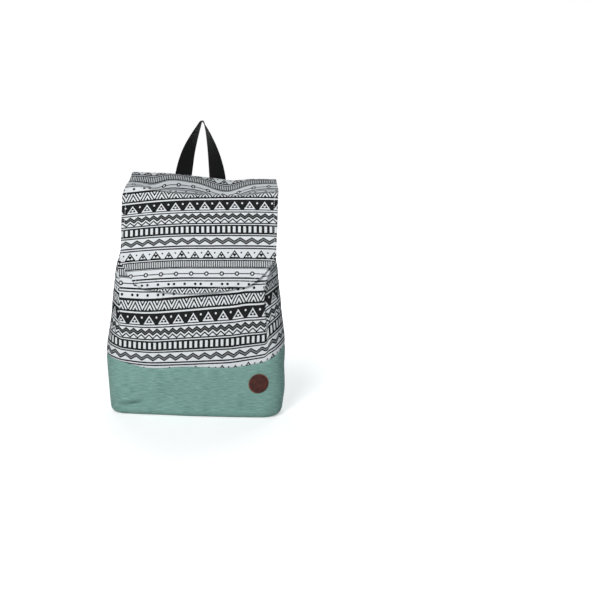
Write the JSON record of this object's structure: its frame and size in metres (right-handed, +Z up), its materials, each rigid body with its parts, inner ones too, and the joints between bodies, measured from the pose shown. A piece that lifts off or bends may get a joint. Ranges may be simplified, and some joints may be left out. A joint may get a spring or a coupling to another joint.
{
  "type": "backpack",
  "caption": "Fold-over backpack of band-printed cotton with a plain green base, chamfered flap, webbing carry handle, round leather patch and adjustable webbing shoulder straps.",
  "frame": {"origin": "middle of the flat base, where the bag stands", "axes": "+Z up, front towards -Y, +X to the right of someone facing the front"},
  "size_m": [0.32, 0.1818, 0.5206],
  "materials": {
    "printed_cotton": "white cotton canvas printed with dark bands",
    "green_cloth": "plain slub weave",
    "lining_cloth": "plain cotton",
    "webbing": "woven webbing",
    "leather": "smooth, cut edge",
    "nickel": "bright nickel plate"
  },
  "bodies": {
    "bag": {"base": "green_cloth", "front_panel": "printed_cotton", "back_panel": "printed_cotton", "lining": "lining_cloth", "flap": "printed_cotton", "carry_handle": "webbing", "leather_patch": "leather", "shoulder_strap_left": "webbing", "strap_return_left": "webbing", "ring_tab_left": "webbing", "shoulder_strap_right": "webbing", "strap_return_right": "webbing", "ring_tab_right": "webbing"},
    "ring_left": {"strap_ring_left": "nickel"},
    "slide_left": {"strap_slide_left": "nickel"},
    "ring_right": {"strap_ring_right": "nickel"},
    "slide_right": {"strap_slide_right": "nickel"}
  },
  "joints": [
    {"name": "ring_left_pivot", "type": "hinge", "parent": "bag", "child": "ring_left", "pos_m": [-0.09831, 0.06168, 0.04581], "axis": [0.9952, 0.069, -0.0701], "range_deg": [-6, 6]},
    {"name": "slide_left_travel", "type": "slide", "parent": "bag", "child": "slide_left", "axis": [0.0547, 0.2048, 0.9773], "range_m": [-0.05, 0.05], "deforming": ["strap_return_left"]},
    {"name": "ring_right_pivot", "type": "hinge", "parent": "bag", "child": "ring_right", "pos_m": [0.09831, 0.06168, 0.04581], "axis": [0.9952, -0.069, 0.0701], "range_deg": [-6, 6]},
    {"name": "slide_right_travel", "type": "slide", "parent": "bag", "child": "slide_right", "axis": [-0.0547, 0.2048, 0.9773], "range_m": [-0.05, 0.05], "deforming": ["strap_return_right"]}
  ]
}
